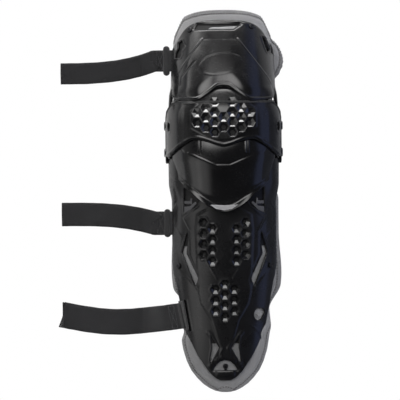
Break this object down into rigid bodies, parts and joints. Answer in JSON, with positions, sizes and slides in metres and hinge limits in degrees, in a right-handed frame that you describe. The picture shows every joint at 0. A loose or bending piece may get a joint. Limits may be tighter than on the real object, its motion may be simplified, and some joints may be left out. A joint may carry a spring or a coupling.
{
  "type": "knee guard",
  "caption": "Hinged knee and shin guard: hard thigh, knee and shin shells over a padded open-backed liner, with elastic hook-ended straps on one side.",
  "frame": {"origin": "centre of the whole object's footprint on the floor, straps laid out to the -X side", "axes": "+Y from the ankle end to the thigh end, +X to the side away from the straps, +Z out of the front of the guard; it lies on its open back"},
  "size_m": [0.2916, 0.498, 0.124],
  "materials": {
    "shell_black": "moulded black plastic, satin to gloss",
    "liner_grey": "mid-grey knitted fabric with stitched padded edges",
    "foam_black": "black mesh fabric over foam",
    "strap_black": "woven elastic webbing",
    "rivet_black": "black coated steel",
    "hook_plastic": "moulded plastic, fine texture"
  },
  "bodies": {
    "shin": {"shin_shell": "shell_black", "knee_cup": "shell_black", "cup_post_left": "rivet_black", "cup_post_right": "rivet_black", "shin_liner": "liner_grey", "shin_foam": "foam_black", "liner_clip_left": "rivet_black", "liner_clip_right": "rivet_black", "liner_post": "rivet_black", "shin_rivet_left": "rivet_black", "shin_rivet_right": "rivet_black", "middle_catch": "rivet_black", "bottom_catch": "rivet_black"},
    "knee": {"knee_shell": "shell_black", "knee_liner": "liner_grey", "knee_foam": "foam_black", "upper_pivot_left": "rivet_black", "upper_pivot_right": "rivet_black", "lower_pivot_left": "rivet_black", "lower_pivot_right": "rivet_black", "upper_washer_left": "rivet_black", "upper_washer_right": "rivet_black", "lower_washer_left": "rivet_black", "lower_washer_right": "rivet_black"},
    "thigh": {"thigh_shell": "shell_black", "thigh_liner": "liner_grey", "thigh_foam": "foam_black", "thigh_rivet_left": "rivet_black", "thigh_rivet_right": "rivet_black", "top_catch": "rivet_black"},
    "thigh_strap_body": {"thigh_strap": "strap_black", "thigh_strap_hook": "hook_plastic"},
    "calf_strap_body": {"calf_strap": "strap_black", "calf_strap_hook": "hook_plastic"},
    "ankle_strap_body": {"ankle_strap": "strap_black", "ankle_strap_hook": "hook_plastic"}
  },
  "joints": [
    {"name": "lower_knee_hinge", "type": "hinge", "parent": "shin", "child": "knee", "pos_m": [0.06813, 0.06397, 0.046], "axis": [-1, 0, 0], "range_deg": [0, 30]},
    {"name": "upper_knee_hinge", "type": "hinge", "parent": "knee", "child": "thigh", "pos_m": [0.06813, 0.09897, 0.046], "axis": [-1, 0, 0], "range_deg": [0, 30]},
    {"name": "thigh_strap_hinge", "type": "hinge", "parent": "thigh", "child": "thigh_strap_body", "pos_m": [0.00133, 0.18547, 0.0156], "axis": [0, 1, 0], "range_deg": [-35, 45]},
    {"name": "calf_strap_hinge", "type": "hinge", "parent": "shin", "child": "calf_strap_body", "pos_m": [0.00093, -0.02803, 0.0156], "axis": [0, 1, 0], "range_deg": [-35, 45]},
    {"name": "ankle_strap_hinge", "type": "hinge", "parent": "shin", "child": "ankle_strap_body", "pos_m": [0.01407, -0.14875, 0.05422], "axis": [-0.1911, 0.9789, 0.0727], "range_deg": [-30, 80]}
  ],
  "couplings": [
    {"joint": "upper_knee_hinge", "follows": "lower_knee_hinge", "ratio": 1}
  ]
}
